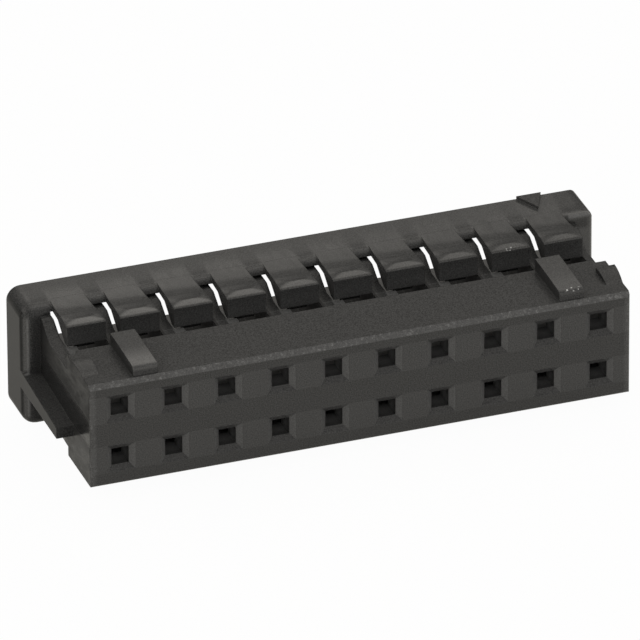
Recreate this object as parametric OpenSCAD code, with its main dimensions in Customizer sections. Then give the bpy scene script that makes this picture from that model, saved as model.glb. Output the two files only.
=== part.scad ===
// Two-row receptacle housing for crimped socket contacts, moulded in one piece.
// X runs along the contact rows, the mating face lies at y = 0 and looks
// towards -Y, and +Z is the side that carries the polarising keys.

/* [Contacts] */
// Contacts in one row
columns = 10; // [4:1:20]
// Distance between neighbouring contacts in a row
pitch = 2.0; // [1.95:0.05:3]
// Distance between the two rows
row_pitch = 2.0; // [1.9:0.05:2.3]
// Side of the square hole for the mating pin
pin_hole = 0.64; // [0.4:0.02:0.8]
// Width of the sloping lead-in around a pin hole
lead_in_w = 0.22; // [0.05:0.01:0.3]
// Depth of the lead-in
lead_in_d = 0.17; // [0.05:0.01:0.4]

/* [Cavities] */
// Width of a contact cavity
cavity_w = 1.5; // [1.2:0.02:1.6]
// Height of a contact cavity under the mating block
cavity_h = 1.45; // [1.3:0.05:1.6]
// Height of the pin's axis above the floor of its cavity
pin_axis_h = 0.8; // [0.6:0.05:0.9]
// Thickness of the wall behind the mating face
front_wall = 1.0; // [0.6:0.05:1.5]
// Thickness of the wall beyond the last cavity
end_wall = 0.4; // [0.36:0.02:0.8]
// Thickness of the roof over the cavities
roof_t = 0.38; // [0.32:0.02:0.6]
// Bevel around each wire entry at the rear
entry_bevel = 0.12; // [0.05:0.01:0.14]

/* [Mating block] */
// Depth of the mating block
block_d = 2.73; // [2.6:0.05:3]
// Depth of the mating block at its two ends
block_end_d = 2.53; // [2.3:0.05:2.6]
// Bevel along the upper edge of the mating face
face_bevel = 0.18; // [0.05:0.01:0.3]
// Bevel along the lower edge of the mating face
low_bevel = 0.06; // [0.02:0.01:0.3]
// Rounding of the upright edges of the mating face
face_round = 0.1; // [0.02:0.01:0.3]

/* [Lance bay] */
// Depth of the trough behind the mating block
bay_drop = 0.4; // [0.2:0.02:0.5]
// Length of the trough's flat floor
bay_floor_l = 1.72; // [1.4:0.04:2]
// Length of the slope at the rear of the trough
bay_ramp = 0.7; // [0.3:0.05:1]
// Fall of the trough's floor at its two ends
bay_end_fall = 0.17; // [0.05:0.01:0.3]
// Width of the falling floor at each end
bay_end_w = 0.35; // [0.1:0.01:0.36]
// Width of the ledge beside the opening in front of a lance
ledge_w = 0.36; // [0.2:0.02:0.5]
// Thickness of the ledge
ledge_t = 0.3; // [0.2:0.02:0.4]
// Depth of the gap under the front edge of the collar
undercut_d = 0.3; // [0.1:0.05:0.5]

/* [Collar] */
// Overall depth of the housing
housing_d = 7.4; // [7:0.1:9]
// Depth of the collar at the rear
collar_d = 1.9; // [1.2:0.05:2.2]
// Rise of the collar above the mating block
collar_rise = 0.37; // [0.3:0.01:0.8]
// Overhang of the collar at each end
collar_side = 0.65; // [0.4:0.05:1]
// Corner radius of the collar at its plain end, seen from the rear
collar_corner = 0.52; // [0.48:0.02:0.8]
// Rounding of the front edges of the collar
collar_front_round = 0.44; // [0.1:0.02:0.46]
// Corner radius of the collar at its marked end, seen from the rear
marked_corner = 0.24; // [0.22:0.01:0.5]
// Rounding of the front edges of the collar at its marked end
marked_front_round = 0.18; // [0.05:0.01:0.2]
// Rounding of the rear edges of the collar
collar_rear_round = 0.06; // [0.03:0.01:0.2]

/* [Lances] */
// Thickness of a lance
lance_t = 0.26; // [0.2:0.01:0.36]
// Width of a lance at its tip
lance_tip_w = 1.46; // [1.3:0.02:1.6]
// Width of a lance where it leaves the collar
lance_root_w = 1.3; // [1.1:0.02:1.4]
// Gap between the mating block and the tips of the lances
lance_gap = 0.99; // [0.6:0.03:1.2]
// Height by which the root of a lance stands above the collar
lance_proud = 0.005; // [0.005:0.005:0.05]
// Depth of a lance's hollow back below its root
hollow_d = 0.002; // [0.002:0.001:0.02]
// Clearance between a lance's tip and the walls of the trough under it
lance_clear = 0.04; // [0.02:0.01:0.1]
// Length of the lance's root on the collar
root_run = 0.5; // [0.4:0.05:0.8]
// Rise of the hump on a lance's back near its tip
hump_h = 0.115; // [0.06:0.005:0.15]
// Length of the hump's level top
hump_land = 0.1; // [0.05:0.01:0.2]
// Distance from the hump to the lowest place of the hollow back behind it
hump_run = 1.35; // [1:0.05:1.5]
// Width of the level middle of the hump
hump_flat_w = 0.5; // [0.2:0.02:0.8]
// Fall of the hump from its level middle to the sides of the lance
hump_crown = 0.08; // [0.03:0.01:0.1]
// Length of the bevelled nose in front of the hump
nose_l = 0.3; // [0.15:0.05:0.4]
// Drop of the bevelled nose
nose_drop = 0.1; // [0.05:0.01:0.2]
// Length of the thick tip under the hump
tip_l = 0.33; // [0.1:0.01:0.4]
// Length of the ramp under the lance, behind its thick tip
tip_ramp = 0.85; // [0.6:0.05:1]
// Width of the hook
hook_w = 0.74; // [0.4:0.02:0.8]
// Depth to which the hook reaches into its cavity
hook_bite = 0.22; // [0.05:0.01:0.3]
// Distance of the hook from the tip of its lance
hook_setback = 0.28; // [0.1:0.02:0.3]
// Length of the hook's flat foot
hook_foot = 0.2; // [0.1:0.01:0.3]
// Length of the slope behind the hook's foot
hook_slope = 0.45; // [0.3:0.05:0.5]

/* [Keys and marks] */
// Distance of a key from the last contact of its row
key_inset = 1; // [0:0.1:1.5]
// Width of a polarising key
key_w = 0.92; // [0.5:0.02:1.2]
// Height of a polarising key
key_h = 0.46; // [0.25:0.01:0.6]
// Fall of a key's top from its rear to its front
key_fall = 0.08; // [0.02:0.01:0.1]
// Distance of the keys from the mating face
key_setback = 0.22; // [0.2:0.01:0.6]
// Rounding of a key's front edge
key_round = 0.15; // [0.05:0.01:0.2]
// Length of a friction bump
bump_l = 1.12; // [0.6:0.04:1.5]
// Height of a friction bump
bump_h = 0.19; // [0.05:0.01:0.25]
// Distance of the highest place of a friction bump from its front end
bump_crest = 0.84; // [0.5:0.04:1]
// Overhang of a friction bump at its rear, past the end of the mating block
bump_side = 0.1; // [0.02:0.01:0.15]
// Width of a friction bump on the mating block
bump_w = 0.62; // [0.3:0.02:0.8]
// Distance of the friction bumps from the mating face
bump_setback = 0.75; // [0.3:0.05:1]
// Width of the triangle that marks the first position
mark_w = 0.94; // [0.4:0.02:1.2]
// Length of the triangle
mark_l = 1; // [0.6:0.05:1.2]
// Height of the triangle
mark_h = 0.12; // [0.03:0.01:0.2]

/* [Side wings] */
// Distance of a wing's front end from the mating face
wing_setback = 1.85; // [1.2:0.05:3]
// Height of a wing's lower face below the middle
wing_low = 0.88; // [0.6:0.02:1.2]
// Height of a wing at its front end
wing_front_h = 0.42; // [0.2:0.02:0.6]
// Height of a wing where it meets the collar
wing_rear_h = 0.68; // [0.3:0.02:0.9]

/* [Hidden] */
$fn = 48;
housing_colour = "#2b2b2c";

// Depth by which cuts pass a face, and by which joined shapes overlap
pass = 0.5;
sink = 0.1;

span = (columns - 1) * pitch;
cavity_low = row_pitch / 2 - pin_axis_h;
cavity_top = cavity_low + cavity_h;
cavities_half_w = span / 2 + cavity_w / 2;
body_half_w = cavities_half_w + end_wall;
body_half_h = cavity_top + roof_t;
bay_half_h = body_half_h - bay_drop;
bay_ramp_y = block_d + bay_floor_l;
bay_tilt = atan(bay_end_fall / bay_end_w);

collar_y = housing_d - collar_d;
collar_half_w = body_half_w + collar_side;
collar_half_h = body_half_h + collar_rise;

lance_top = collar_half_h + lance_proud;
lance_under = lance_top - lance_t;
lance_tip_y = block_d + lance_gap;
lance_root_y = collar_y + root_run;
hump_top = lance_top + hump_h;
hump_y = lance_tip_y + nose_l;
slope_y = hump_y + hump_land + hump_run;
slope_h = hump_h + hollow_d;
slope_radius = (hump_run * hump_run + slope_h * slope_h) / (2 * slope_h);
crown_reach = (lance_tip_w * lance_tip_w - hump_flat_w * hump_flat_w) / 4;
crown_low = (crown_reach + hump_crown * hump_crown) / (2 * hump_crown);
crown_radius = sqrt(crown_low * crown_low + hump_flat_w * hump_flat_w / 4);
tip_low = bay_half_h + lance_clear;
hook_low = cavity_top - hook_bite;
heel_y = lance_tip_y + tip_l;
hook_y = lance_tip_y + hook_setback;
hook_heel_y = hook_y + hook_foot;
hook_end_y = hook_heel_y + hook_slope;
hook_end_z = tip_low + (lance_under - tip_low) * (hook_end_y - heel_y) / tip_ramp;

mouth = pin_hole + 2 * lead_in_w;
key_x = span / 2 - key_inset;
key_l = block_d - key_setback;
key_top = body_half_h + key_h;
key_radius = (key_l * key_l + key_fall * key_fall) / (2 * key_fall);
bump_radius = (bump_crest * bump_crest + bump_h * bump_h) / (2 * bump_h);

function column_x(i) = i * pitch - span / 2;

module at_columns() {
    for (i = [0 : columns - 1]) {
        translate([column_x(i), 0, 0]) children();
    }
}

module both_rows() {
    for (side = [0, 1]) {
        mirror([0, 0, side]) children();
    }
}

module both_ends() {
    for (side = [0, 1]) {
        mirror([side, 0, 0]) children();
    }
}

// A profile drawn in Y and Z, drawn out along X
module along_x(width) {
    rotate([90, 0, 90]) linear_extrude(height = width, center = true) children();
}

// A profile drawn in X and Z, drawn out along Y from one place to another
module along_y(from, to) {
    translate([0, to, 0]) rotate([90, 0, 0]) linear_extrude(height = to - from) children();
}

// Turns a profile drawn in Y and Z so that it lies in Y and X
module plan() {
    rotate(-90) mirror([1, 0]) children();
}

// A rectangle between two depths whose corners are rounded at the front and at the rear
module rounded_slab(half, from, to, front_r, rear_r) {
    translate([from + front_r, -half]) square([to - from - front_r - rear_r, 2 * half]);
    translate([from, -half + front_r]) square([front_r, 2 * (half - front_r)]);
    translate([to - rear_r, -half + rear_r]) square([rear_r, 2 * (half - rear_r)]);
    for (side = [-1, 1]) {
        translate([from + front_r, side * (half - front_r)]) circle(front_r);
        translate([to - rear_r, side * (half - rear_r)]) circle(rear_r);
    }
}

// A four-sided funnel from a wide square at its mouth to a narrow one
module funnel(wide_w, wide_h, narrow_w, narrow_h, from, to) {
    intersection() {
        along_x(wide_w + pass) polygon([
            [from, -wide_h / 2],
            [from, wide_h / 2],
            [to, narrow_h / 2],
            [to, -narrow_h / 2]
        ]);
        linear_extrude(height = wide_h + pass, center = true) polygon([
            [-wide_w / 2, from],
            [wide_w / 2, from],
            [narrow_w / 2, to],
            [-narrow_w / 2, to]
        ]);
    }
}

// The block that enters the header, a little shallower beyond the last cavities
module mating_block() {
    intersection() {
        union() {
            along_x(2 * body_half_w) block_side(block_end_d);
            along_x(2 * cavities_half_w) block_side(block_d);
        }
        linear_extrude(height = 2 * body_half_h, center = true)
            plan() rounded_slab(body_half_w, 0, block_d + pass, face_round, face_round);
    }
}

module block_side(depth) {
    polygon([
        [0, -body_half_h + low_bevel],
        [0, body_half_h - face_bevel],
        [face_bevel, body_half_h],
        [depth, body_half_h],
        [depth, -body_half_h],
        [low_bevel, -body_half_h]
    ]);
}

// The part between the block and the collar, with a trough under the tips of the lances
module lance_bay() {
    difference() {
        translate([-body_half_w, block_end_d - sink, -body_half_h])
            cube([2 * body_half_w, collar_y + undercut_d + sink - block_end_d, 2 * body_half_h]);
        both_rows() trough();
    }
}

// The trough, whose floor falls away at the two ends of the housing
module trough() {
    fall_x = body_half_w - bay_end_w;
    along_x(2 * fall_x) trough_side();
    both_ends() translate([fall_x, 0, bay_half_h]) rotate([0, bay_tilt, 0])
        translate([0, 0, -bay_half_h]) along_x(4 * bay_end_w) trough_side();
}

// The side view of the trough, with its sloping rear
module trough_side() {
    rise = bay_drop + pass;
    polygon([
        [0, bay_half_h],
        [0, bay_half_h + rise],
        [bay_ramp_y + bay_ramp * rise / bay_drop, bay_half_h + rise],
        [bay_ramp_y, bay_half_h]
    ]);
}

// The collar at the rear, rounded on all its edges, in two parts that meet under the last lance
module collar() {
    meet_x = column_x(columns - 1);
    collar_part(-collar_half_w, meet_x, -1, collar_corner, collar_front_round);
    collar_part(meet_x, collar_half_w, 1, marked_corner, marked_front_round);
}

// The collar between two places along X, with its corners at the lower end (-1) or the upper end (1)
module collar_part(from, to, end, corner, front_r) {
    corner_x = collar_half_w - corner;
    corner_z = collar_half_h - corner;
    flat_from = end > 0 ? from : -corner_x;
    flat_to = end > 0 ? corner_x : to;
    translate([(flat_from + flat_to) / 2, 0, 0]) along_x(flat_to - flat_from)
        rounded_slab(collar_half_h, collar_y, housing_d, front_r, collar_rear_round);
    linear_extrude(height = 2 * corner_z, center = true) intersection() {
        plan() rounded_slab(collar_half_w, collar_y, housing_d, front_r, collar_rear_round);
        translate([end > 0 ? from : -collar_half_w - pass, collar_y - pass])
            square([to - from + pass, collar_d + 2 * pass]);
    }
    for (side = [-1, 1]) {
        translate([end * corner_x, 0, side * corner_z]) rotate([-90, 0, 0]) rotate_extrude()
            collar_corner_side(corner, front_r);
    }
}

// Half of the side view of a collar corner, which turns about its own axis
module collar_corner_side(corner, front_r) {
    intersection() {
        plan() rounded_slab(corner, collar_y, housing_d, front_r, collar_rear_round);
        translate([0, collar_y - pass]) square([corner + pass, collar_d + 2 * pass]);
    }
}

// The gap under the front edge of the collar, over which the lances spring
module collar_undercut() {
    translate([-cavities_half_w, collar_y - pass, body_half_h])
        cube([2 * cavities_half_w, undercut_d + pass, lance_under - body_half_h]);
}

// A rib on the end of the housing, flush with the collar
module side_wing() {
    wing_w = collar_half_w - body_half_w + sink;
    translate([collar_half_w - wing_w / 2, 0, 0]) along_x(wing_w) polygon([
        [wing_setback, -wing_low],
        [wing_setback, -wing_low + wing_front_h],
        [collar_y + collar_front_round, -wing_low + wing_rear_h],
        [collar_y + collar_front_round, -wing_low]
    ]);
}

module polarising_key() {
    translate([key_x, 0, 0]) along_x(key_w) key_side();
}

// The side view of a key, with a top that curves down gently to its rounded front
module key_side() {
    round_run = key_l - key_round;
    round_reach = key_radius - key_round;
    round_z = key_top - key_radius + sqrt(round_reach * round_reach - round_run * round_run);
    touch_y = block_d - round_run * key_radius / round_reach;
    base_z = body_half_h - sink;
    intersection() {
        translate([block_d, key_top - key_radius]) circle(key_radius);
        translate([touch_y, base_z]) square([block_d - touch_y, key_h + sink]);
    }
    translate([key_setback, base_z]) square([key_round, round_z - base_z]);
    translate([key_setback + key_round, round_z]) circle(key_round);
}

// A swelling on the corner of the mating block that binds in the header
module friction_bump() {
    inner_x = body_half_w - bump_w;
    front_y = bump_setback - sink;
    rear_y = bump_setback + bump_l;
    intersection() {
        translate([body_half_w, 0, 0]) along_x(2 * bump_w + sink) intersection() {
            translate([bump_setback + bump_crest, body_half_h + bump_h - bump_radius]) circle(bump_radius);
            translate([front_y, body_half_h - sink]) square([rear_y - front_y, bump_h + 2 * sink]);
        }
        linear_extrude(height = body_half_h + bump_h + pass) polygon([
            [inner_x, front_y],
            [body_half_w - bump_side * sink / bump_l, front_y],
            [body_half_w + bump_side, rear_y],
            [inner_x, rear_y]
        ]);
    }
}

// The triangle on the collar beside the first position
module position_mark() {
    translate([column_x(columns - 1), housing_d - collar_rear_round, collar_half_h - sink])
        linear_extrude(height = mark_h + sink) polygon([
            [-mark_w / 2, 0],
            [mark_w / 2, 0],
            [0, -mark_l]
        ]);
}

// The hole for a mating pin, with its lead-in and the cavity for the contact behind it
module contact_cavity() {
    translate([0, 0, row_pitch / 2]) {
        funnel(mouth, mouth, pin_hole, pin_hole, 0, lead_in_d);
        translate([-pin_hole / 2, -pass, -pin_hole / 2])
            cube([pin_hole, front_wall + 2 * pass, pin_hole]);
    }
    translate([-cavity_w / 2, front_wall, cavity_low])
        cube([cavity_w, housing_d - front_wall + pass, cavity_h]);
}

// The taller rear part of a cavity, open under the lance, which takes the crimp and the wire
module wire_entry() {
    entry_h = lance_under - cavity_low;
    translate([-cavity_w / 2, block_d, cavity_low])
        cube([cavity_w, housing_d - block_d + pass, entry_h]);
    translate([0, 0, cavity_low + entry_h / 2])
        funnel(cavity_w, entry_h, cavity_w + 2 * entry_bevel, entry_h + 2 * entry_bevel,
            housing_d - entry_bevel, housing_d);
}

// The side view of a lance, with its hollow back, its hump and the ramp under it
module lance_side() {
    difference() {
        polygon([
            [lance_tip_y, tip_low],
            [lance_tip_y, hump_top - nose_drop],
            [hump_y, hump_top],
            [lance_root_y, hump_top],
            [lance_root_y, lance_under],
            [heel_y + tip_ramp, lance_under],
            [heel_y, tip_low]
        ]);
        translate([slope_y, lance_top - hollow_d + slope_radius]) circle(slope_radius);
        translate([slope_y, lance_top]) square([lance_root_y - slope_y + pass, hump_h + pass]);
    }
}

// The front view of a lance, crowned above on both sides of its level middle
module lance_front() {
    intersection() {
        translate([0, hump_top - crown_low]) circle(crown_radius);
        translate([-lance_tip_w / 2, tip_low]) square([lance_tip_w, hump_top - tip_low]);
    }
}

// A springy finger with a hook that holds the contact in its cavity
module lance() {
    intersection() {
        along_x(lance_tip_w) lance_side();
        along_y(lance_tip_y, lance_root_y) lance_front();
        linear_extrude(height = hump_top + pass) polygon([
            [-lance_tip_w / 2, lance_tip_y],
            [lance_tip_w / 2, lance_tip_y],
            [lance_root_w / 2, lance_root_y],
            [-lance_root_w / 2, lance_root_y]
        ]);
    }
    along_x(hook_w) polygon([
        [hook_y, hook_low],
        [hook_y, tip_low + sink],
        [heel_y, tip_low + sink],
        [hook_end_y, hook_end_z],
        [hook_heel_y, hook_low]
    ]);
}

// A ledge that narrows the opening in front of a lance
module ledge() {
    translate([-cavity_w / 2 - sink, block_d, bay_half_h - ledge_t])
        cube([ledge_w + sink, lance_gap, ledge_t]);
}

module housing() {
    color(housing_colour) {
        difference() {
            union() {
                mating_block();
                lance_bay();
                collar();
                both_ends() side_wing();
                both_ends() polarising_key();
                both_ends() friction_bump();
                position_mark();
            }
            both_rows() collar_undercut();
            both_rows() at_columns() contact_cavity();
            both_rows() at_columns() wire_entry();
        }
        both_rows() at_columns() lance();
        both_rows() at_columns() ledge();
    }
}

housing();
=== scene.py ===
"""A two-row connector receptacle housing in black moulded plastic, on a white table."""
import math
from types import SimpleNamespace

import bmesh
import bpy
from mathutils import Matrix, Vector


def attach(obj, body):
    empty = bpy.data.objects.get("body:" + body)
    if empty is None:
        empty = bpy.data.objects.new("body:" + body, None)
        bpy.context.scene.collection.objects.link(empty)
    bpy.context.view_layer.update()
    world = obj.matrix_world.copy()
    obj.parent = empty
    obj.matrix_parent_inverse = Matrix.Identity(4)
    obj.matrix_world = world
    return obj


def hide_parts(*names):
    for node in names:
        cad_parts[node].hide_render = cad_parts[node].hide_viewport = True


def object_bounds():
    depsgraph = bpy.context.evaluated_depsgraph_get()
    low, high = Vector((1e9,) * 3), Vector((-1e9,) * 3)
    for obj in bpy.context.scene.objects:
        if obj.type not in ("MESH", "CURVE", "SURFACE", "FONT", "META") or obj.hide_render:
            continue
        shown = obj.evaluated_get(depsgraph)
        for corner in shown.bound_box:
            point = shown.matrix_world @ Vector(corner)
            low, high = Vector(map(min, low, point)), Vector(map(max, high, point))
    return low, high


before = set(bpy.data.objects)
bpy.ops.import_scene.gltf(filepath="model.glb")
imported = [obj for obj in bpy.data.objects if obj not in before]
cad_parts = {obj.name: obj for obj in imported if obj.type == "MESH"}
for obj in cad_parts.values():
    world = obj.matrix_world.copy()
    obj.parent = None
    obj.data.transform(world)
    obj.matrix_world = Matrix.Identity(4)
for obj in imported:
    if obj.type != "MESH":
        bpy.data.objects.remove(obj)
cad_low, cad_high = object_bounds()


def near(place, start, end):
    """The two places, measured from a place on the housing, between which a finish fades in or out."""
    return place + start, place + end


MM = 0.001

# Sizes of the housing that the finish follows, in millimetres
COLUMNS = 10
PITCH = 2.0
ROW_HEIGHT = PITCH / 2
BODY_HALF_WIDTH = 10.15
BLOCK_TOP = 2.03
BLOCK_DEPTH = 2.73
FACE_BEVEL = 0.18
MOUTH_HALF = 0.54
PIN_HOLE_HALF = 0.32
LEAD_IN_DEPTH = 0.17
FRONT_WALL = 1.0
KEY_FRONT = 0.22
BUMP_INNER_X = 9.53
CAVITY_HALF_WIDTH = 0.75
LAST_CAVITY_EDGE = (COLUMNS - 1) / 2 * PITCH + CAVITY_HALF_WIDTH
LEDGE_EDGE = -0.39
LEDGE_TOP = 1.63
LANCE_HALF_WIDTH = 0.7
LANCE_TIP = 3.72
COLLAR_Y = 5.5
COLLAR_TOP = 2.4
COLLAR_HALF_WIDTH = 10.8
REAR_FACE = 7.4
MARK_Y = 6.2
MARK_TOP = 2.52
WING_TOP = -0.38

# Large parts of the housing: where each one fades in, from none to full
ALONG_ROWS = (BODY_HALF_WIDTH, -BODY_HALF_WIDTH)
RAISED = near(BLOCK_TOP, 0.17, 0.27)
BEHIND_BLOCK = near(BLOCK_DEPTH, 0.0, 0.1)
IN_ROWS = near(LAST_CAVITY_EDGE, 0.06, 0.02)
MARKED_END = near(LAST_CAVITY_EDGE, 0.05, 0.15)
ON_BLOCK = near(BODY_HALF_WIDTH, 0.3, 0.1)
END_OF_BODY = (LAST_CAVITY_EDGE, BODY_HALF_WIDTH)
FACING_SIDEWAYS = (0.75, 0.95)
FACING_UP = (0.2, 0.5)
FACING_DOWN = (-0.2, -0.5)

# Pin entries: eroded patches beside them, sloping lead-ins with painted light and shade, and holes and the
# cavities behind with painted light
PATCH_EDGE = (-0.03, 0.03)
LEAD_IN_BOTTOM = near(LEAD_IN_DEPTH, 0.03, 0.0)
MOUTH_EDGE = near(MOUTH_HALF, 0.02, -0.02)
BEHIND_FACE = (0.005, 0.02)
# Painted light on the lead-in facets: painted shade instead where they face up, and half as much light where
# they face down
UPWARD_SLOPE_LOSS = 1.2
DOWNWARD_SLOPE_LOSS = 0.5
# Painted light in the pin holes, and more in the cavities behind them
HOLE_EDGE = near(PIN_HOLE_HALF, 0.04, 0.01)
HOLE_START = near(LEAD_IN_DEPTH, -0.02, 0.02)
HOLE_PALING = near(LEAD_IN_DEPTH, 0.0, 0.6)
HOLE_END = near(FRONT_WALL, 0.1, 0.0)
CAVITY_START = near(FRONT_WALL, 0.0, 0.1)
CAVITY_FRONT_END = near(BLOCK_DEPTH, -0.03, -0.33)
CAVITY_ROOF = near(LEDGE_TOP, 0.15, 0.05)
CAVITY_SIDE = near(LAST_CAVITY_EDGE, 0.1, 0.05)
CAVITY_SHARE = 1.8

# Edges of the mating face
BEVEL_BOTTOM = near(BLOCK_TOP - FACE_BEVEL, -0.02, 0.01)
BEVEL_BACK = near(FACE_BEVEL, 0.01, -0.02)
CORNER_SIDE = near(BODY_HALF_WIDTH, -0.28, -0.12)
CORNER_BACK = (0.1, 0.07)
CORNER_SHARE = 0.7
LOWER_EDGE = near(-BLOCK_TOP, 0.07, 0.04)
BEVEL_GLOSS = 0.55

# Lances, and the ledges and walls beside them
STRIP_EDGE = near(LANCE_HALF_WIDTH, 0.0, -0.07)
STRIP_END = near(REAR_FACE, -0.3, -1.2)
LAST_STRIP = near(LAST_CAVITY_EDGE, 0.1, 0.0)
STREAKS_START = near(LANCE_TIP, 0.5, 1.2)
# Painted light on the fronts of the lance tips, brightest low down
TIP_START = near(LANCE_TIP, -0.03, -0.01)
TIP_END = near(LANCE_TIP, 0.03, 0.01)
TIP_BOTTOM = near(ROW_HEIGHT, 0.0, 0.1)
TIP_DOWNWARDS = (2.4, 1.65)
TIP_TOP_SHARE = 0.15
TIP_BOTTOM_SHARE = 0.8
# Painted light on the ledges in the cavities
LEDGE_OUTER = near(-CAVITY_HALF_WIDTH, -0.07, 0.0)
LEDGE_INNER = near(LEDGE_EDGE, 0.03, 0.0)
LEDGE_BELOW = near(LEDGE_TOP, -0.05, -0.02)
LEDGE_ABOVE = near(LEDGE_TOP, 0.05, 0.02)
LEDGE_END = near(BLOCK_DEPTH, 1.2, 1.0)
LEDGE_SHARE = 2.0
# Painted shade: a dark line on the wall beside each lance
LINE_INNER = near(CAVITY_HALF_WIDTH, -0.05, -0.01)
LINE_OUTER = near(CAVITY_HALF_WIDTH, 0.12, 0.08)
LINE_START = near(LANCE_TIP, -0.48, -0.38)
LINE_END = near(LANCE_TIP, 0.33, 0.23)
LANCE_GLOSS = 0.03
LANCE_GLOSS_ALONG = 0.42
LANCE_DULL = near(COLLAR_Y, 0.3, -0.75)
LANCE_DULL_LOSS = 0.55

# Noses of the lances: dull, with a glossy lens whose rear edge is an arc
NOSE_END = near(LANCE_TIP, 0.62, 0.32)
ARC_BEND = 0.55
ARC_EDGE = (0.54, 0.28)
LENS_START = (0.04, 0.14)
NOSE_GLOSS = -0.9
NOSE_GLOSS_ALONG = 0.36
LENS_GLOSS = 0.84

# Keys and friction bumps
# Painted light on the fronts of the keys
KEY_BOTTOM = near(BLOCK_TOP, 0.01, 0.04)
KEY_FACE = near(KEY_FRONT, 0.03, 0.01)
KEY_FACE_SHARE = 0.5
# Painted shade on the sides of the keys
KEY_SIDE_BOTTOM = near(BLOCK_TOP, 0.0, 0.03)
KEY_SIDE_END = near(BLOCK_DEPTH, 0.0, -0.05)
KEY_SIDE_SHARE = 0.4
KEY_GLOSS = 0.35
KEY_GLOSS_ALONG = -0.08
KEY_SHEEN = (1.7, 0.6)
KEY_SHEEN_GLOSS = 0.09
KEY_SHEEN_ALONG = 0.5
BUMP_SIDE = near(BUMP_INNER_X, -0.02, 0.02)
BUMP_BOTTOM = near(BLOCK_TOP, 0.005, 0.03)
BUMP_GLOSS = 0.12
BUMP_GLOSS_ALONG = 0.13

# Collar: the top, its bands between the lances, the position mark and the rounded front edge
COLLAR_GLOSS = 0.54
MARK_BOTTOM = near(MARK_TOP, -0.03, -0.01)
MARK_START = near(MARK_Y, 0.0, 0.1)
MARK_GLOSS = -0.37
BESIDE_STRIP = near(LANCE_HALF_WIDTH, 0.0, 0.06)
PAST_LAST_STRIP = near(LAST_CAVITY_EDGE, 0.0, 0.1)
BAND_LOSS = 0.15
DULL_BAND_START = near(COLLAR_Y, 0.22, 0.36)
DULL_BAND_END = near(COLLAR_Y, 0.85, 0.5)
DULL_BAND_LOSS = 0.45
BRIGHT_BAND_START = near(COLLAR_Y, 0.12, 0.2)
BRIGHT_BAND_END = near(COLLAR_Y, 0.3, 0.24)
BRIGHT_BAND_LOSS = -0.3
DULL_CORNER = near(COLLAR_Y, 0.2, 0.4)
DULL_CORNER_LOSS = 0.3
COLLAR_START = near(COLLAR_Y, -0.05, 0.0)
SIDE_EDGE = near(BODY_HALF_WIDTH, 0.35, 0.5)
SIDE_EDGE_END = near(COLLAR_Y, 0.55, 0.4)
# Painted highlight along the collar's upright front edge at the unmarked end
HIGHLIGHT_EDGE_END = near(COLLAR_Y, 0.12, 0.06)
HIGHLIGHT_EDGE_SIDE = near(COLLAR_HALF_WIDTH, 0.0, -0.08)
SHOULDER_SIDE = near(BODY_HALF_WIDTH, 0.2, 0.35)
SHOULDER_BOTTOM = (1.9, 2.1)
SHOULDER_LOSS = 0.7

# The front edge of the collar at the marked end
MARKED_FRONT_END = near(COLLAR_Y, 0.25, 0.1)
DULL_SPOT_BOTTOM = near(COLLAR_TOP, -0.68, -0.5)
DULL_SPOT_TOP = near(COLLAR_TOP, -0.14, -0.26)
DULL_SPOT_SIDE = near(BODY_HALF_WIDTH, 0.5, 0.35)
DULL_SPOT_LOSS = 0.5
# Painted light on the marked end's front face below the rim, and a painted highlight on the rim
LOWER_RIM = near(COLLAR_TOP, -0.45, -0.65)
LOWER_RIM_LIGHT = 0.2
UPPER_RIM = near(COLLAR_TOP, -0.18, -0.08)
UPPER_RIM_HIGHLIGHT = 0.5
RIM_END = near(COLLAR_Y, 0.11, 0.05)

# Inside of the collar, and the housing's two end faces
PASSAGE_ROOF = near(LEDGE_TOP, -0.1, -0.3)
PASSAGE_START = near(COLLAR_Y, -1.0, 0.0)
PASSAGE_END = near(REAR_FACE, -0.05, -0.2)
PASSAGE_GLOSS = 0.7
END_GLOSS = 0.04
BLOCK_END_GLOSS = 0.03
# Painted shade on the end faces: full past the block, less on it and none low on it
BLOCK_LOW = (-0.2, -1.0)
BLOCK_END_LESS_DARK = 0.3
BLOCK_LOW_LESS_DARK = 0.7
SMOOTH_PART = near(WING_TOP, 1.25, 0.85)
SMOOTH_PART_CHANGE = 0.3
UPPER_PART_CHANGE = -0.12
ABOVE_WING = near(WING_TOP, -0.1, 0.0)
LOWEST_GLOSS = 0.1

# Places with painted glints: middle, half size along each axis, strength
GLINT_SPOTS = (
    ((8.0, 0.31, 2.42), (0.62, 0.13, 0.12), 1.0),
    ((7.08, 3.80, 2.47), (0.32, 0.13, 0.12), 1.0),
)
GLINT_SPOT_EDGE = (1.0, 0.6)

# Patterns in the plastic: cells to a millimetre, detail and roughness of each noise
FINE_GRAIN = (22.0, 2.0, 0.6)
COARSE_GRAIN = (7.0, 3.0, 0.7)
CLOUDS = (0.6, 2.0, 0.5)
# Flecks of the painted glints
GLINT_FLECKS = (8.0, 2.0, 0.6)
STREAKS = (4.0, 4.0, 0.65)
STREAK_STRETCH = (1.0, 0.35, 1.0)
NOISE_MIDDLE = 0.5
SPECK_EDGE = (0.50, 0.72)
GLINT_FLECK_EDGE = (0.55, 0.68)

# How pale the plastic is, and what each finish, painted light and painted shade adds
PALENESS = -0.0235
FINE_PALENESS = 0.11
CLOUD_PALENESS = 0.006
# Eroded patches are the mould's finish; the lead-in facets, holes and fronts get painted light
FINISH_AND_LIGHT_PALENESS = (("Eroded", 0.012), ("LitFacets", 0.03), ("LitHoles", 0.1), ("LitFronts", 0.025))
# How much the painted shade takes off
PAINTED_SHADE_LOSS = 0.7
# Painted highlights on the collar's front edges
HIGHLIGHT_PALENESS = 0.085
BEVEL_PALENESS = 0.026
SPECK_PALENESS = 0.07
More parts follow.
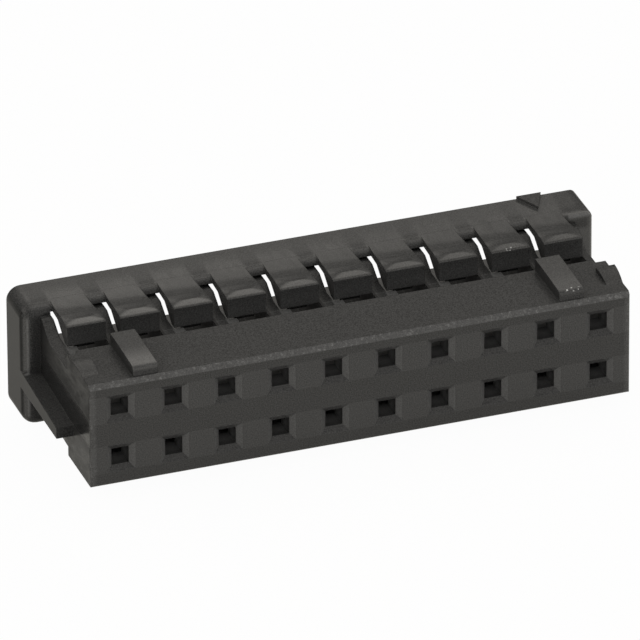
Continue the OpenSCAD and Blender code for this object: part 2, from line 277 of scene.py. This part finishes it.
# Painted glints
GLINT_PALENESS = 0.45
DARKEST = (0, 0, 0, 1)
PALEST = (0.99, 1.0, 1.01, 1)

# Gloss, roughness and relief of the plastic
COAT_ROUGHNESS = 0.16
INDEX = 1.5
BARE_SPECULAR = 0.05
STREAK_GLOSS = 0.8
SIDE_STREAKS = 0.9
ROUGHNESS = 0.30
FINE_ROUGHNESS = 0.08
ROUGH_AREA = 0.16
FINE_RELIEF = 0.35
COARSE_RELIEF = 1.6
RELIEF_STRENGTH = 0.5
RELIEF_HEIGHT = 0.012 * MM
EDGE_RADIUS = 0.035 * MM
EDGE_SAMPLES = 6

# Clean-up and shading of the housing's mesh
SMOOTH_ANGLE = math.radians(35)
FLAT_ANGLE = math.radians(0.5)
MERGE_DISTANCE = 0.0002 * MM

# The camera, fitted to the grid of pin entries
CAMERA_AZIMUTH = -19.335
CAMERA_ELEVATION = 28.734
CAMERA_ROLL = -0.365
CAMERA_LENS = 719.0
SENSOR = 36.0
# Where the camera sees the middle of the mating face: right, down and away
SEEN_RIGHT = 1.485 * MM
SEEN_DOWN = 2.479 * MM
SEEN_AWAY = 452.664 * MM

# The table, and the white tent: its brightness from the table behind over the top to the front
FLOOR_RADIUS = 1.5
FLOOR_SEGMENTS = 96
FLOOR_WHITE = 0.64
FLOOR_GLOW = 0.97
GLOSSY_GLOW = 0.55
REFLECTED_TINT = (1.0, 0.97, 0.88, 1)
TENT_BRIGHTNESS = 1.5
HALF_TURN = 180
OVERHEAD = 90
TENT = ((0, 0.04), (21, 0.04), (40, 1.0), (75, 1.0), (108, 0.6), (HALF_TURN, 0.58))
WARM = (1.0, 0.96, 0.895)
WHITER_SHARE = 0.3


def add_node(tree, kind, inputs=None, **settings):
    """A node with its settings; each input is a plain value or another node's output."""
    made = tree.nodes.new(kind)
    for name, value in settings.items():
        setattr(made, name, value)
    for name, value in (inputs or {}).items():
        if isinstance(value, bpy.types.NodeSocket):
            tree.links.new(value, made.inputs[name])
        else:
            made.inputs[name].default_value = value
    return made


def math_node(tree, operation, first, second=0.0, third=0.0):
    """The output of a Math node."""
    return add_node(tree, "ShaderNodeMath", {0: first, 1: second, 2: third}, operation=operation).outputs[0]


def product(tree, first, *others):
    """All the values multiplied."""
    for other in others:
        first = math_node(tree, "MULTIPLY", first, other)
    return first


def largest(tree, first, *others):
    """The largest of the values."""
    for other in others:
        first = math_node(tree, "MAXIMUM", first, other)
    return first


def add_share(tree, value, share, base):
    """The base, plus a share of the value."""
    return math_node(tree, "MULTIPLY_ADD", value, share, base)


def lessen(tree, value, mask, loss):
    """The value, which loses a share of itself where the mask is full."""
    return product(tree, value, add_share(tree, mask, -loss, 1.0))


def blend(tree, mask, first, second):
    """The first value where the mask is empty, and the second where it is full."""
    return add_node(tree, "ShaderNodeMix", {0: mask, 2: first, 3: second}).outputs[0]


def fade(tree, value, span):
    """0 before the span, 1 past its end, and a smooth change between; a span may run downwards."""
    start, end = span
    ranged = add_node(
        tree, "ShaderNodeMapRange",
        {"Value": value, "From Min": start, "From Max": end, "To Min": 0.0, "To Max": 1.0},
        interpolation_type="SMOOTHSTEP",
    )
    return ranged.outputs["Result"]


def band(tree, value, *spans):
    """1 where the value is past the end of every span."""
    return product(tree, *(fade(tree, value, span) for span in spans))


def noise(tree, place, scale, detail, roughness):
    """Noise from 0 to 1 with so many cells to a millimetre."""
    made = add_node(
        tree, "ShaderNodeTexNoise",
        {"Vector": place, "Scale": scale, "Detail": detail, "Roughness": roughness},
    )
    return made.outputs["Fac"]


def new_group(name, inputs, outputs):
    """An empty shader group with its vector inputs and value outputs, and its two end nodes."""
    tree = bpy.data.node_groups.new(name, "ShaderNodeTree")
    for socket_name in inputs:
        tree.interface.new_socket(socket_name, in_out="INPUT", socket_type="NodeSocketVector")
    for socket_name in outputs:
        tree.interface.new_socket(socket_name, in_out="OUTPUT", socket_type="NodeSocketFloat")
    return tree, tree.nodes.new("NodeGroupInput"), tree.nodes.new("NodeGroupOutput")


def find_places(tree, place, facing):
    """Where a point lies on the housing, and how far it belongs to each large part."""
    x, y, z = add_node(tree, "ShaderNodeSeparateXYZ", {0: place}).outputs
    facing_x, _, facing_z = add_node(tree, "ShaderNodeSeparateXYZ", {0: facing}).outputs
    offset = math_node(tree, "SUBTRACT", math_node(tree, "FLOORED_MODULO", x, PITCH), PITCH / 2)
    from_column = math_node(tree, "ABSOLUTE", offset)
    from_middle = math_node(tree, "ABSOLUTE", x)
    height = math_node(tree, "ABSOLUTE", z)
    from_row = math_node(tree, "ABSOLUTE", math_node(tree, "SUBTRACT", height, ROW_HEIGHT))
    sideways = fade(tree, math_node(tree, "ABSOLUTE", facing_x), FACING_SIDEWAYS)
    return SimpleNamespace(
        x=x, y=y, z=z,
        facing_z=facing_z,
        offset=offset,
        from_column=from_column,
        from_middle=from_middle,
        from_row=from_row,
        height=height,
        along=fade(tree, x, ALONG_ROWS),
        ahead=fade(tree, y, BEVEL_BACK),
        behind=fade(tree, y, BEHIND_BLOCK),
        raised=fade(tree, height, RAISED),
        in_rows=fade(tree, from_middle, IN_ROWS),
        marked_end=fade(tree, x, MARKED_END),
        on_block=fade(tree, from_middle, ON_BLOCK),
        sideways=sideways,
        end_face=product(tree, sideways, fade(tree, from_middle, END_OF_BODY)),
        lance_strip=product(
            tree,
            fade(tree, from_column, STRIP_EDGE),
            fade(tree, y, STRIP_END),
            fade(tree, from_middle, LAST_STRIP),
        ),
        collar_start=fade(tree, y, COLLAR_START),
    )


def pin_entries(tree, at):
    """Eroded patches beside the pin entries, painted light and shade on their lead-ins' slopes, and painted
    light in their holes and cavities.
    """
    near_face = fade(tree, at.y, LEAD_IN_BOTTOM)
    half_height = math_node(tree, "MINIMUM", at.from_column, MOUTH_HALF)
    patch = fade(tree, math_node(tree, "SUBTRACT", half_height, at.from_row), PATCH_EDGE)

    slope = add_share(tree, fade(tree, at.facing_z, FACING_UP), -UPWARD_SLOPE_LOSS, 1.0)
    slope = add_share(tree, fade(tree, at.facing_z, FACING_DOWN), -DOWNWARD_SLOPE_LOSS, slope)
    from_pin = largest(tree, at.from_column, at.from_row)
    in_mouth = fade(tree, from_pin, MOUTH_EDGE)
    facets = product(tree, in_mouth, near_face, fade(tree, at.y, BEHIND_FACE), slope)

    in_hole = product(
        tree, fade(tree, from_pin, HOLE_EDGE), band(tree, at.y, HOLE_START, HOLE_END, HOLE_PALING)
    )
    in_cavity = product(
        tree,
        band(tree, at.y, CAVITY_START, CAVITY_FRONT_END),
        fade(tree, at.height, CAVITY_ROOF),
        fade(tree, at.from_middle, CAVITY_SIDE),
    )
    holes = add_share(tree, in_cavity, CAVITY_SHARE, in_hole)
    return product(tree, patch, near_face), facets, holes


def rough_bevel(tree, at):
    """The bevel over the mating face, with the face's upright edges and lower edge."""
    upper = product(tree, fade(tree, at.z, BEVEL_BOTTOM), at.ahead)
    corner = product(
        tree, fade(tree, at.from_middle, CORNER_SIDE), fade(tree, at.y, CORNER_BACK), CORNER_SHARE
    )
    lower = product(tree, fade(tree, at.z, LOWER_EDGE), at.ahead)
    return largest(tree, upper, corner, lower)


def streaked_lances(tree, at):
    """The backs of the lances, behind their noses."""
    return product(tree, at.lance_strip, at.raised, at.behind, fade(tree, at.y, STREAKS_START))


def painted_light_on_fronts(tree, at):
    """Painted light on the fronts of the lances, brightest low on their tips, on the ledges in the cavities
    and on the fronts of the keys.
    """
    downwards = add_share(tree, fade(tree, at.height, TIP_DOWNWARDS), TIP_BOTTOM_SHARE, TIP_TOP_SHARE)
    tip = product(
        tree, band(tree, at.y, TIP_START, TIP_END), at.in_rows, fade(tree, at.height, TIP_BOTTOM), downwards
    )
    ledge = product(
        tree,
        band(tree, at.offset, LEDGE_OUTER, LEDGE_INNER),
        band(tree, at.height, LEDGE_BELOW, LEDGE_ABOVE),
        at.behind,
        at.in_rows,
        fade(tree, at.y, LEDGE_END),
        LEDGE_SHARE,
    )
    key = product(tree, fade(tree, at.z, KEY_BOTTOM), fade(tree, at.y, KEY_FACE), KEY_FACE_SHARE)
    return largest(tree, tip, ledge, key)


def painted_shade_places(tree, at):
    """Painted shade on the end faces, full past the block and none low on it, on the sides of the keys, and
    as a dark line on the wall beside each lance.
    """
    low_block = product(tree, fade(tree, at.z, BLOCK_LOW), at.on_block)
    darkness = add_share(tree, at.on_block, -BLOCK_END_LESS_DARK, 1.0)
    darkness = add_share(tree, low_block, -BLOCK_LOW_LESS_DARK, darkness)
    line = product(
        tree,
        band(tree, at.offset, LINE_INNER, LINE_OUTER),
        band(tree, at.y, LINE_START, LINE_END),
        band(tree, at.height, LEDGE_BELOW, LEDGE_ABOVE),
        at.in_rows,
    )
    key_side = product(
        tree,
        at.sideways,
        fade(tree, at.z, KEY_SIDE_BOTTOM),
        fade(tree, at.y, KEY_SIDE_END),
        KEY_SIDE_SHARE,
    )
    return largest(tree, product(tree, at.end_face, darkness), line, key_side)


def lance_gloss(tree, at):
    """What the lances add to the collar's gloss: their backs shine and their noses are dull."""
    back = add_share(tree, at.along, LANCE_GLOSS_ALONG, LANCE_GLOSS)
    back = lessen(tree, back, fade(tree, at.y, LANCE_DULL), LANCE_DULL_LOSS)

    from_tip = math_node(tree, "SUBTRACT", at.y, LANCE_TIP)
    arc = add_share(tree, product(tree, at.from_column, at.from_column), ARC_BEND, from_tip)
    lens = product(tree, fade(tree, arc, ARC_EDGE), fade(tree, from_tip, LENS_START))
    nose = add_share(tree, lens, LENS_GLOSS, NOSE_GLOSS)
    nose = add_share(tree, at.along, NOSE_GLOSS_ALONG, nose)
    on_nose = product(tree, fade(tree, at.y, NOSE_END), at.behind)
    return add_share(tree, at.lance_strip, back, product(tree, on_nose, nose))


def collar_gloss(tree, at):
    """The gloss of the lances and of the collar's top, which changes in bands between the lances."""
    mark = product(tree, fade(tree, at.z, MARK_BOTTOM), fade(tree, at.y, MARK_START))
    gloss = math_node(tree, "ADD", lance_gloss(tree, at), COLLAR_GLOSS)
    gloss = add_share(tree, mark, MARK_GLOSS, gloss)
    dull_corner = product(tree, at.marked_end, fade(tree, at.y, DULL_CORNER))
    gloss = lessen(tree, gloss, dull_corner, DULL_CORNER_LOSS)

    between = largest(
        tree, fade(tree, at.from_column, BESIDE_STRIP), fade(tree, at.from_middle, PAST_LAST_STRIP)
    )
    dull_band = band(tree, at.y, DULL_BAND_START, DULL_BAND_END)
    bright_band = band(tree, at.y, BRIGHT_BAND_START, BRIGHT_BAND_END)
    loss = add_share(tree, at.along, -BAND_LOSS, BAND_LOSS)
    loss = add_share(tree, dull_band, DULL_BAND_LOSS, loss)
    loss = add_share(tree, bright_band, BRIGHT_BAND_LOSS, loss)
    return lessen(tree, gloss, product(tree, between, loss), 1.0)


def key_gloss(tree, at):
    """The gloss of the keys, with a sheen towards their fronts."""
    sheen = add_share(tree, at.along, KEY_SHEEN_ALONG, KEY_SHEEN_GLOSS)
    plain = add_share(tree, at.along, KEY_GLOSS_ALONG, KEY_GLOSS)
    return add_share(tree, fade(tree, at.y, KEY_SHEEN), sheen, plain)


def bump_gloss(tree, at):
    """The gloss of the friction bumps."""
    bump = product(tree, fade(tree, at.from_middle, BUMP_SIDE), fade(tree, at.z, BUMP_BOTTOM))
    return product(tree, bump, add_share(tree, at.along, BUMP_GLOSS_ALONG, BUMP_GLOSS))


def collar_edges(tree, at):
    """The collar's glossy front edges: past both ends of the block, and at the marked end alone."""
    sides = product(
        tree, fade(tree, at.from_middle, SIDE_EDGE), at.collar_start, fade(tree, at.y, SIDE_EDGE_END)
    )
    marked = product(tree, at.collar_start, fade(tree, at.y, MARKED_FRONT_END), at.marked_end)
    return sides, marked


def painted_edge_highlights(tree, at, sides, marked):
    """Painted highlights on the collar's front edges, and painted light on the marked end's front face."""
    highlight_side = product(
        tree, sides, fade(tree, at.y, HIGHLIGHT_EDGE_END), fade(tree, at.from_middle, HIGHLIGHT_EDGE_SIDE)
    )
    highlight_side = lessen(tree, highlight_side, at.marked_end, 1.0)
    rim = product(tree, fade(tree, at.z, LOWER_RIM), LOWER_RIM_LIGHT)
    rim = add_share(tree, fade(tree, at.z, UPPER_RIM), UPPER_RIM_HIGHLIGHT, rim)
    rim = product(tree, rim, fade(tree, at.y, RIM_END), marked)
    return largest(tree, highlight_side, rim)


def overall_gloss(tree, at, sides, marked):
    """The gloss of the whole housing."""
    raised = product(tree, at.raised, blend(tree, at.behind, key_gloss(tree, at), collar_gloss(tree, at)))
    bevel = product(tree, at.ahead, BEVEL_GLOSS)
    gloss = largest(tree, raised, bevel, LOWEST_GLOSS, bump_gloss(tree, at), sides)
    shoulder = product(
        tree, fade(tree, at.from_middle, SHOULDER_SIDE), fade(tree, at.height, SHOULDER_BOTTOM)
    )
    gloss = lessen(tree, gloss, shoulder, SHOULDER_LOSS)

    dull_spot = product(
        tree, band(tree, at.z, DULL_SPOT_BOTTOM, DULL_SPOT_TOP), fade(tree, at.x, DULL_SPOT_SIDE)
    )
    polished = lessen(tree, marked, dull_spot, DULL_SPOT_LOSS)
    passage = product(
        tree,
        fade(tree, at.height, PASSAGE_ROOF),
        band(tree, at.y, PASSAGE_START, PASSAGE_END),
        fade(tree, at.from_middle, LAST_STRIP),
        PASSAGE_GLOSS,
    )
    gloss = largest(tree, gloss, polished, passage)
    end_gloss = add_share(tree, at.on_block, BLOCK_END_GLOSS, END_GLOSS)
    return blend(tree, at.end_face, gloss, end_gloss)


def smooth_sides(tree, at):
    """The block's two end faces, smoother just above the wings and rougher higher up."""
    sides = product(tree, at.end_face, at.on_block)
    change = add_share(tree, fade(tree, at.z, SMOOTH_PART), SMOOTH_PART_CHANGE, UPPER_PART_CHANGE)
    return sides, product(tree, change, fade(tree, at.z, ABOVE_WING), sides)


def make_finish_and_light_regions():
    """Masks of the finishes that the mould left and of painted light and shade: where the plastic is pale,
    dark, rough or glossy.
    """
    tree, start, end = new_group(
        "finish_and_painted_light_regions",
        ["Place", "Facing"],
        [
            "Eroded", "LitFacets", "LitHoles", "Bevel", "Lances", "LitFronts",
            "PaintedShade", "Sides", "PaintedHighlights", "Smoothness", "Gloss",
        ],
    )
    at = find_places(tree, start.outputs["Place"], start.outputs["Facing"])
    eroded, facets, holes = pin_entries(tree, at)
    side_edges, marked_edge = collar_edges(tree, at)
    sides, smoothness = smooth_sides(tree, at)
    masks = {
        "Eroded": eroded,
        "LitFacets": facets,
        "LitHoles": holes,
        "Bevel": rough_bevel(tree, at),
        "Lances": streaked_lances(tree, at),
        "LitFronts": painted_light_on_fronts(tree, at),
        "PaintedShade": painted_shade_places(tree, at),
        "Sides": sides,
        "PaintedHighlights": painted_edge_highlights(tree, at, side_edges, marked_edge),
        "Smoothness": smoothness,
        "Gloss": overall_gloss(tree, at, side_edges, marked_edge),
    }
    for name, mask in masks.items():
        tree.links.new(mask, end.inputs[name])
    return tree


def make_painted_glints():
    """A mask of the places with painted glints, each fading out towards its edge."""
    tree, start, end = new_group("painted_glints", ["Place"], ["Strength"])
    total = 0.0
    for middle, half_size, strength in GLINT_SPOTS:
        away = add_node(
            tree, "ShaderNodeVectorMath", {0: start.outputs["Place"], 1: middle}, operation="SUBTRACT"
        )
        shrunk = add_node(
            tree, "ShaderNodeVectorMath", {0: away.outputs[0], 1: half_size}, operation="DIVIDE"
        )
        far = add_node(tree, "ShaderNodeVectorMath", {0: shrunk.outputs[0]}, operation="LENGTH")
        spot = product(tree, fade(tree, far.outputs["Value"], GLINT_SPOT_EDGE), strength)
        total = largest(tree, spot, total)
    tree.links.new(total, end.inputs["Strength"])
    return tree


def plastic_colour(tree, place, regions, fine, coarse):
    """Near black, a little paler in the grain, the eroded patches and the bevel; with painted light on the
    lead-ins, holes, fronts and collar edges, painted shade on the end faces and beside the lances, and
    painted glints.
    """
    paleness = add_share(tree, fine, FINE_PALENESS, PALENESS)
    paleness = add_share(tree, noise(tree, place, *CLOUDS), CLOUD_PALENESS, paleness)
    for name, share in FINISH_AND_LIGHT_PALENESS:
        paleness = add_share(tree, regions[name], share, paleness)
    paleness = lessen(tree, paleness, regions["PaintedShade"], PAINTED_SHADE_LOSS)
    paleness = add_share(tree, regions["PaintedHighlights"], HIGHLIGHT_PALENESS, paleness)
    specked = add_share(tree, fade(tree, coarse, SPECK_EDGE), SPECK_PALENESS, BEVEL_PALENESS)
    paleness = add_share(tree, regions["Bevel"], specked, paleness)
    painted_glints = add_node(tree, "ShaderNodeGroup", node_tree=make_painted_glints())
    tree.links.new(place, painted_glints.inputs["Place"])
    glint_flecks = fade(tree, noise(tree, place, *GLINT_FLECKS), GLINT_FLECK_EDGE)
    glint_flecks = product(tree, glint_flecks, painted_glints.outputs["Strength"])
    paleness = add_share(tree, glint_flecks, GLINT_PALENESS, paleness)
    colour = add_node(
        tree, "ShaderNodeMix", {"Factor": paleness, "A": DARKEST, "B": PALEST}, data_type="RGBA"
    )
    return colour.outputs["Result"]


def plastic_coat(tree, place, regions):
    """The gloss, mottled in streaks on the lances and the block's ends."""
    drawn = add_node(tree, "ShaderNodeMapping", {"Vector": place, "Scale": STREAK_STRETCH})
    streaks = noise(tree, drawn.outputs["Vector"], *STREAKS)
    streaked = add_share(tree, regions["Sides"], SIDE_STREAKS, regions["Lances"])
    mottle = product(tree, math_node(tree, "SUBTRACT", streaks, NOISE_MIDDLE), streaked)
    return add_share(tree, mottle, STREAK_GLOSS, regions["Gloss"])


def plastic_roughness(tree, regions, fine, rough_areas):
    """Satin, rougher where the mould was eroded."""
    roughness = add_share(tree, fine, FINE_ROUGHNESS, ROUGHNESS)
    roughness = add_share(tree, rough_areas, ROUGH_AREA, roughness)
    return math_node(tree, "SUBTRACT", roughness, regions["Smoothness"])


def plastic_relief(tree, fine, coarse, rough_areas):
    """The grain as a relief, over edges that are slightly rounded."""
    grain = product(tree, fine, FINE_RELIEF)
    grain = add_share(tree, product(tree, coarse, rough_areas), COARSE_RELIEF, grain)
    rounded = add_node(tree, "ShaderNodeBevel", {"Radius": EDGE_RADIUS}, samples=EDGE_SAMPLES)
    relief = add_node(
        tree, "ShaderNodeBump",
        {
            "Height": grain, "Strength": RELIEF_STRENGTH, "Distance": RELIEF_HEIGHT,
            "Normal": rounded.outputs["Normal"],
        },
    )
    return relief.outputs["Normal"]


def make_moulded_plastic():
    """Black glass-filled plastic, with the fine grain that the mould's surfaces left on it."""
    material = bpy.data.materials.new("moulded_plastic")
    material.use_nodes = True
    tree = material.node_tree
    tree.nodes.clear()
    coords = add_node(tree, "ShaderNodeTexCoord")
    scaled = add_node(
        tree, "ShaderNodeMapping",
        {"Vector": coords.outputs["Object"], "Scale": (1 / MM, 1 / MM, 1 / MM)},
    )
    place = scaled.outputs["Vector"]
    facing = add_node(tree, "ShaderNodeNewGeometry")
    # Masks of the mould's finish and of painted light and shade
    finish = add_node(tree, "ShaderNodeGroup", node_tree=make_finish_and_light_regions())
    tree.links.new(place, finish.inputs["Place"])
    tree.links.new(facing.outputs["True Normal"], finish.inputs["Facing"])
    regions = finish.outputs
    fine = noise(tree, place, *FINE_GRAIN)
    coarse = noise(tree, place, *COARSE_GRAIN)
    rough_areas = largest(tree, regions["Eroded"], regions["Bevel"])
    relief = plastic_relief(tree, fine, coarse, rough_areas)
    shader = add_node(
        tree, "ShaderNodeBsdfPrincipled",
        {
            "Base Color": plastic_colour(tree, place, regions, fine, coarse),
            "Roughness": plastic_roughness(tree, regions, fine, rough_areas),
            "Normal": relief,
            "IOR": INDEX,
            "Specular IOR Level": BARE_SPECULAR,
            "Coat Weight": plastic_coat(tree, place, regions),
            "Coat Roughness": COAT_ROUGHNESS,
            "Coat IOR": INDEX,
            "Coat Normal": relief,
        },
    )
    out = add_node(tree, "ShaderNodeOutputMaterial")
    tree.links.new(shader.outputs["BSDF"], out.inputs["Surface"])
    return material


def link(made):
    """The object, put into the scene."""
    bpy.context.scene.collection.objects.link(made)
    return made


def make_housing():
    """The housing as one merged mesh whose rounded faces shade smoothly."""
    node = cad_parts["housing"]
    bm = bmesh.new()
    bm.from_mesh(node.data)
    bmesh.ops.remove_doubles(bm, verts=bm.verts[:], dist=MERGE_DISTANCE)
    bmesh.ops.dissolve_limit(
        bm, angle_limit=FLAT_ANGLE, verts=bm.verts[:], edges=bm.edges[:], use_dissolve_boundaries=False
    )
    for face in bm.faces:
        face.smooth = True
    for edge in bm.edges:
        edge.smooth = edge.calc_face_angle(0) < SMOOTH_ANGLE
    mesh = bpy.data.meshes.new("moulded_housing")
    bm.to_mesh(mesh)
    bm.free()
    housing = link(bpy.data.objects.new("moulded_housing", mesh))
    mesh.materials.append(make_moulded_plastic())
    weighted = housing.modifiers.new("even_shading", "WEIGHTED_NORMAL")
    weighted.keep_sharp = True
    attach(housing, "root")
    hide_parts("housing")


def make_white_table():
    """White paper that stays white behind the housing and in its gloss, and keeps the shadow."""
    material = bpy.data.materials.new("white_table")
    material.use_nodes = True
    tree = material.node_tree
    tree.nodes.clear()
    rays = add_node(tree, "ShaderNodeLightPath")
    seen = largest(tree, rays.outputs["Is Camera Ray"], rays.outputs["Is Transmission Ray"])
    reflected = product(tree, rays.outputs["Is Glossy Ray"], GLOSSY_GLOW)
    glow_share = largest(tree, product(tree, seen, FLOOR_GLOW), reflected)
    paper = add_node(tree, "ShaderNodeBsdfDiffuse", {"Color": (FLOOR_WHITE, FLOOR_WHITE, FLOOR_WHITE, 1)})
    glow_colour = add_node(
        tree, "ShaderNodeMix",
        {"Factor": rays.outputs["Is Glossy Ray"], "A": (1, 1, 1, 1), "B": REFLECTED_TINT},
        data_type="RGBA",
    )
    glow = add_node(tree, "ShaderNodeEmission", {"Color": glow_colour.outputs["Result"], "Strength": 1.0})
    mixed = add_node(tree, "ShaderNodeMixShader", {0: glow_share, 1: paper.outputs[0], 2: glow.outputs[0]})
    out = add_node(tree, "ShaderNodeOutputMaterial")
    tree.links.new(mixed.outputs[0], out.inputs["Surface"])
    return material


def make_floor():
    """A round white table under the housing."""
    bm = bmesh.new()
    bmesh.ops.create_circle(bm, cap_ends=True, segments=FLOOR_SEGMENTS, radius=FLOOR_RADIUS)
    bmesh.ops.translate(bm, verts=bm.verts[:], vec=(0, 0, cad_low.z))
    mesh = bpy.data.meshes.new("table")
    bm.to_mesh(mesh)
    bm.free()
    floor = link(bpy.data.objects.new("table", mesh))
    mesh.materials.append(make_white_table())


def tint(angle, channel):
    """The tent's share of green or blue: warm behind and above, whiter over the front."""
    if angle < OVERHEAD:
        return WARM[channel]
    return WHITER_SHARE + (1 - WHITER_SHARE) * WARM[channel]


def make_light():
    """The soft, slightly warm light of a white tent that is brightest behind and above."""
    world = bpy.data.worlds.new("studio")
    world.use_nodes = True
    tree = world.node_tree
    coords = add_node(tree, "ShaderNodeTexCoord")
    axes = add_node(tree, "ShaderNodeSeparateXYZ", {0: coords.outputs["Generated"]})
    arch = math_node(tree, "ARCTAN2", axes.outputs[2], axes.outputs[1])
    ramp = add_node(tree, "ShaderNodeValToRGB", {"Fac": math_node(tree, "DIVIDE", arch, math.pi)})
    stops = ramp.color_ramp.elements
    while len(stops) < len(TENT):
        stops.new(1.0)
    for stop, (angle, share) in zip(stops, TENT):
        stop.position = angle / HALF_TURN
        stop.color = (share, share * tint(angle, 1), share * tint(angle, 2), 1)
    background = tree.nodes["Background"]
    background.inputs["Strength"].default_value = TENT_BRIGHTNESS
    tree.links.new(ramp.outputs["Color"], background.inputs["Color"])
    bpy.context.scene.world = world


def make_camera():
    """The photograph's camera, whose axes are right, down and away."""
    azimuth, elevation, roll = (
        math.radians(angle) for angle in (CAMERA_AZIMUTH, CAMERA_ELEVATION, CAMERA_ROLL)
    )
    away = Vector((
        -math.sin(azimuth) * math.cos(elevation),
        math.cos(azimuth) * math.cos(elevation),
        -math.sin(elevation),
    ))
    level_right = away.cross(Vector((0, 0, 1))).normalized()
    level_down = away.cross(level_right)
    right = math.cos(roll) * level_right - math.sin(roll) * level_down
    down = math.sin(roll) * level_right + math.cos(roll) * level_down
    data = bpy.data.cameras.new("camera")
    data.lens = CAMERA_LENS
    data.sensor_width = SENSOR
    camera = link(bpy.data.objects.new("camera", data))
    place = -(right * SEEN_RIGHT + down * SEEN_DOWN + away * SEEN_AWAY)
    turn = Matrix((right, -down, -away)).transposed()
    camera.matrix_world = Matrix.Translation(place) @ turn.to_4x4()
    bpy.context.scene.camera = camera


make_camera()
make_housing()
make_floor()
make_light()
bpy.context.scene.view_settings.view_transform = "Standard"
